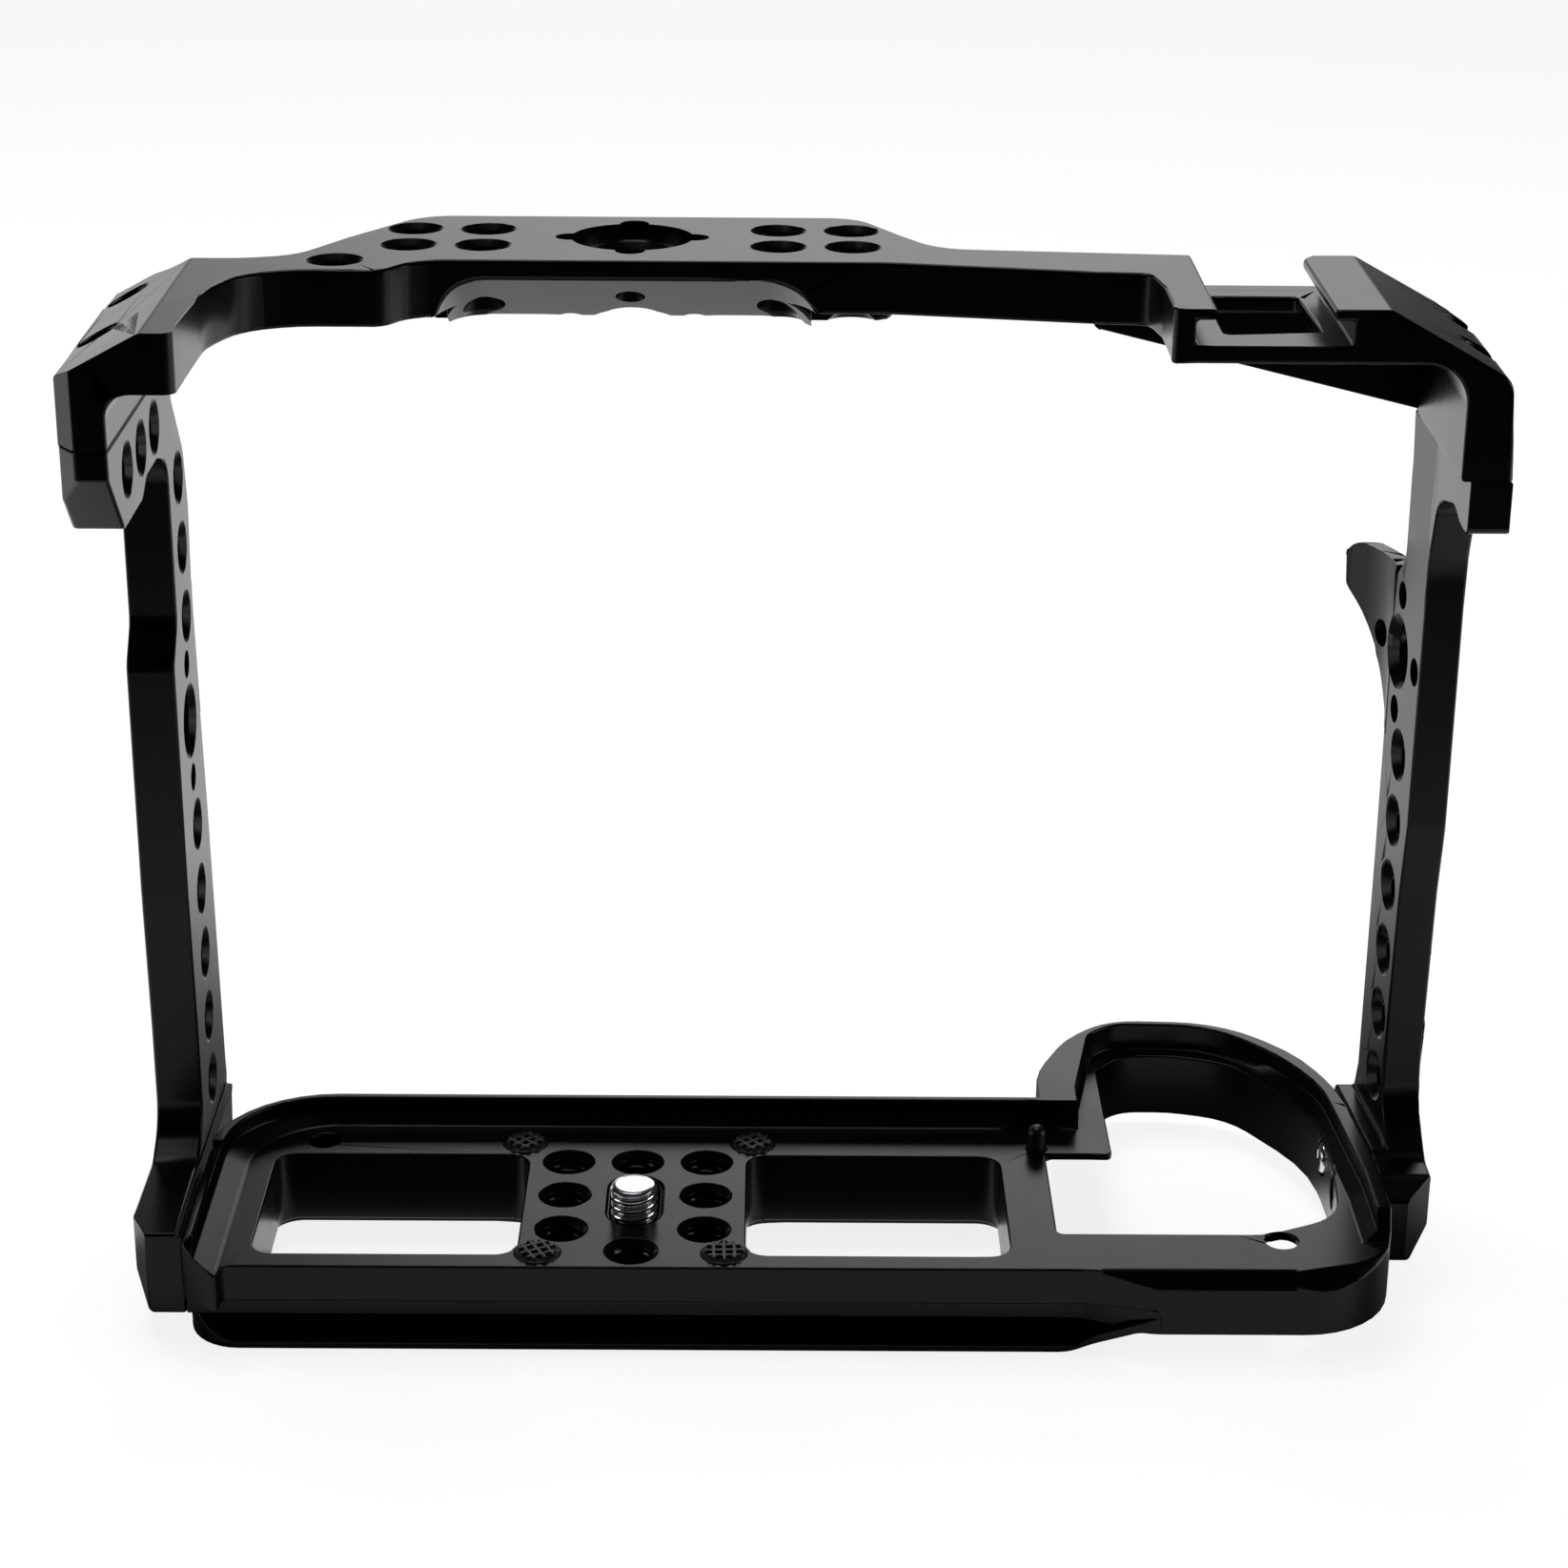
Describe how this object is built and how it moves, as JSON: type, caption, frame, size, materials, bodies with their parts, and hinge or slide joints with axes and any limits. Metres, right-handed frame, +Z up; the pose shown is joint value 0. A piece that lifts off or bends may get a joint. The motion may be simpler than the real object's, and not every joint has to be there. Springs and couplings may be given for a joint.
{
  "type": "camera cage",
  "caption": "Bolt-together cage for a mirrorless camera, with tapped accessory holes, an accessory shoe, a captive camera screw and a dovetail foot.",
  "frame": {"origin": "centre of the base plate's hole grid, on the floor that the camera stands on", "axes": "+X towards the camera's grip side, +Y towards the lens, +Z up"},
  "size_m": [0.1733, 0.0749, 0.1377],
  "materials": {
    "anodised": "black bead-blasted anodising",
    "steel": "polished stainless steel",
    "washer": "smooth grey nylon",
    "pin": "black oxide",
    "rubber": "ribbed black rubber"
  },
  "bodies": {
    "cage": {"base_plate": "anodised", "left_side_frame": "anodised", "right_side_frame": "anodised", "top_plate": "anodised", "locating_pin": "pin", "pad_rear_left": "rubber", "pad_rear_right": "rubber", "pad_front_left": "rubber", "pad_front_right": "rubber", "left_base_screws": "steel", "right_base_screws": "steel", "left_top_screws": "steel", "right_top_screws": "steel"},
    "washer": {"camera_screw_washer": "washer"},
    "screw": {"camera_screw": "steel"}
  },
  "joints": [
    {"name": "screw_slide", "type": "slide", "parent": "cage", "child": "washer", "axis": [0, 1, 0], "range_m": [0, 0.0066]},
    {"name": "screw_turn", "type": "hinge", "parent": "washer", "child": "screw", "pos_m": [0, -0.00475, 0], "axis": [0, 0, 1], "continuous": true}
  ]
}
